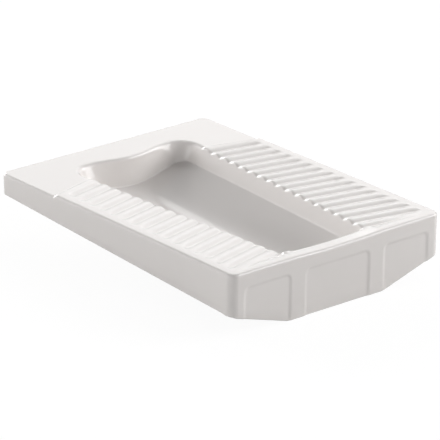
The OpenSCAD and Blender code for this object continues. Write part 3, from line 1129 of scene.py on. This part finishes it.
def make_seal(sizes):
    """The rubber seal: a sleeve with low fins, and the flange that it hangs from."""
    centre = (SEAL_LOW + SEAL_HIGH) / 2
    profile = seal_profile(sizes.outlet)
    rows, count = len(profile), SEAL_SIDES
    turns = np.linspace(0, 2 * np.pi, count, endpoint=False)
    ways = [(math.cos(turn), math.sin(turn)) for turn in turns]
    points = [(centre.x + r * cx, centre.y + r * cy, z) for r, z in profile for cx, cy in ways]
    faces = []
    for i in range(rows):
        for j in range(count):
            k, n = (j + 1) % count, (i + 1) % rows
            faces.append((i * count + j, i * count + k, n * count + k, n * count + j))
    mesh = bpy.data.meshes.new("pan_seal")
    mesh.from_pydata(points, [], faces)
    mesh.shade_smooth()
    mesh.materials.append(rubber_material(sizes.colour))
    piece = add_object("pan_seal", mesh)
    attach(piece, "root")
    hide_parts("outlet_seal")


# ---------------------------------------------------------------- studio

def camera_axes(studio):
    """The camera's right, up and back axes before its roll."""
    sin_a, cos_a = math.sin(studio.azimuth), math.cos(studio.azimuth)
    sin_e, cos_e = math.sin(studio.elevation), math.cos(studio.elevation)
    right = Vector((cos_a, sin_a, 0))
    back = Vector((sin_a * cos_e, -cos_a * cos_e, sin_e))
    return right, back.cross(right), back


def make_camera(sizes):
    """The camera at the photograph's angle."""
    studio = sizes.studio
    right, up, back = camera_axes(studio)
    aim = Vector((0, 0, sizes.pan.deck_z)) + right * studio.shift_right - up * studio.shift_down
    place = aim + back * studio.distance
    cos_r, sin_r = math.cos(studio.roll), math.sin(studio.roll)
    right, up = right * cos_r + up * sin_r, up * cos_r - right * sin_r
    data = bpy.data.cameras.new("camera")
    data.sensor_width = 36.0
    data.lens = data.sensor_width * studio.focal
    data.clip_start, data.clip_end = 0.1, 1000.0
    camera = add_object("camera", data)
    turn = Matrix((right, up, back)).transposed().to_4x4()
    camera.matrix_world = Matrix.Translation(place) @ turn
    bpy.context.scene.camera = camera


# the soft panels: bearing to the right of the camera's and height above the horizon, both in
# degrees as seen from the pan, then width and height in metres, and brightness
PANELS = {
    "right_panel": (96, 23, 6.4, 4.2, 6.1),
    "right_high_panel": (95, 42, 4.8, 3.2, 0.8),
    "right_rear_panel": (125, 14, 6.8, 3.6, 0.85),
    "rear_panel": (180, 19.5, 5.6, 2.2, 0.95),
    "rear_high_panel": (162, 42, 4.2, 4.8, 2.0),
    "left_rear_panel": (-140, 18, 7.6, 3.4, 6.5),
    "left_panel": (-110, 28, 7.0, 4.0, 1.1),
    "front_panel": (-45, 12, 8.8, 2.8, 3.4),
}
# how far from the pan's origin every panel stands, in metres
PANEL_DISTANCE = 8.0


def add_panel(studio, name, turn, rise, width, height, brightness):
    """A soft panel aimed at the pan."""
    bearing = studio.azimuth + math.radians(turn)
    away = Vector((math.sin(bearing), -math.cos(bearing), 0)) * math.cos(math.radians(rise))
    away.z = math.sin(math.radians(rise))
    data = bpy.data.lights.new(name, "AREA")
    data.shape, data.size, data.size_y = "RECTANGLE", width, height
    data.energy = studio.light * brightness * math.pi * width * height
    lamp = add_object(name, data)
    aim = (-away).to_track_quat("-Z", "Y").to_matrix().to_4x4()
    lamp.matrix_world = Matrix.Translation(away * PANEL_DISTANCE) @ aim


def make_world(strength):
    """Faint surroundings, which are white to the camera and in reflections."""
    world = bpy.data.worlds.new("studio")
    world.use_nodes = True
    bpy.context.scene.world = world
    tree = world.node_tree
    tree.nodes.clear()
    new, link = tree.nodes.new, tree.links.new
    sky, leave = new("ShaderNodeBackground"), new("ShaderNodeOutputWorld")
    path = new("ShaderNodeLightPath").outputs
    seen = Term(tree, path["Is Camera Ray"]) + Term(tree, path["Is Glossy Ray"])
    seen = seen + Term(tree, path["Is Transmission Ray"])
    level = seen.math("MINIMUM", 1.0).math("MAXIMUM", strength)
    link(level.socket, sky.inputs["Strength"])
    sky.inputs["Color"].default_value = (1.0, 1.0, 1.0, 1.0)
    link(sky.outputs[0], leave.inputs["Surface"])


# half the width of the studio's floor, in metres
FLOOR_HALF = 60.0


def make_stage(sizes):
    """Floor, world, lamps and camera."""
    studio = sizes.studio
    make_camera(sizes)
    half = FLOOR_HALF
    mesh = bpy.data.meshes.new("floor")
    corners = [(-half, -half, 0), (half, -half, 0), (half, half, 0), (-half, half, 0)]
    mesh.from_pydata(corners, [], [(0, 1, 2, 3)])
    mesh.materials.append(floor_material())
    add_object("floor", mesh)
    make_world(studio.world)
    for name, place in PANELS.items():
        add_panel(studio, name, *place)
    bpy.context.scene.view_settings.view_transform = "Standard"


# ---------------------------------------------------------------- operators, panel and run

class SQUATPAN_OT_pan(bpy.types.Operator):
    """Make the glazed pan with its ribbed treads"""
    bl_idname = "squatpan.pan"
    bl_label = "Make the pan"

    def execute(self, context):
        make_pan(context.scene.squat_pan)
        return {"FINISHED"}


class SQUATPAN_OT_seal(bpy.types.Operator):
    """Make the rubber seal on the outlet's spigot"""
    bl_idname = "squatpan.seal"
    bl_label = "Make the outlet seal"

    def execute(self, context):
        make_seal(context.scene.squat_pan)
        return {"FINISHED"}


class SQUATPAN_OT_stage(bpy.types.Operator):
    """Set up the floor, the light and the camera"""
    bl_idname = "squatpan.stage"
    bl_label = "Make the stage"

    def execute(self, context):
        make_stage(context.scene.squat_pan)
        return {"FINISHED"}


class SQUATPAN_PT_panel(bpy.types.Panel):
    """Sizes, colours and buttons of the squat pan"""
    bl_label = "Squat pan"
    bl_space_type = "VIEW_3D"
    bl_region_type = "UI"
    bl_category = "Squat pan"

    def draw(self, context):
        settings = context.scene.squat_pan
        for group in SIZE_GROUPS:
            box = self.layout.box()
            box.label(text=group.capitalize())
            for name in SIZE_GROUPS[group].__annotations__:
                box.prop(getattr(settings, group), name)
        for operator in OPERATORS:
            self.layout.operator(operator.bl_idname)


OPERATORS = (SQUATPAN_OT_pan, SQUATPAN_OT_seal, SQUATPAN_OT_stage)
CLASSES = (*SIZE_GROUPS.values(), SquatPanSettings, *OPERATORS, SQUATPAN_PT_panel)


def register():
    """Makes the classes known and hangs the settings on the scene."""
    for cls in CLASSES:
        bpy.utils.register_class(cls)
    bpy.types.Scene.squat_pan = PointerProperty(type=SquatPanSettings)


def unregister():
    """Takes the settings and the classes away again."""
    del bpy.types.Scene.squat_pan
    for cls in reversed(CLASSES):
        bpy.utils.unregister_class(cls)


def main():
    """Makes the pan, its seal and the stage."""
    register()
    bpy.ops.squatpan.pan()
    bpy.ops.squatpan.seal()
    bpy.ops.squatpan.stage()


if __name__ == "__main__":
    main()
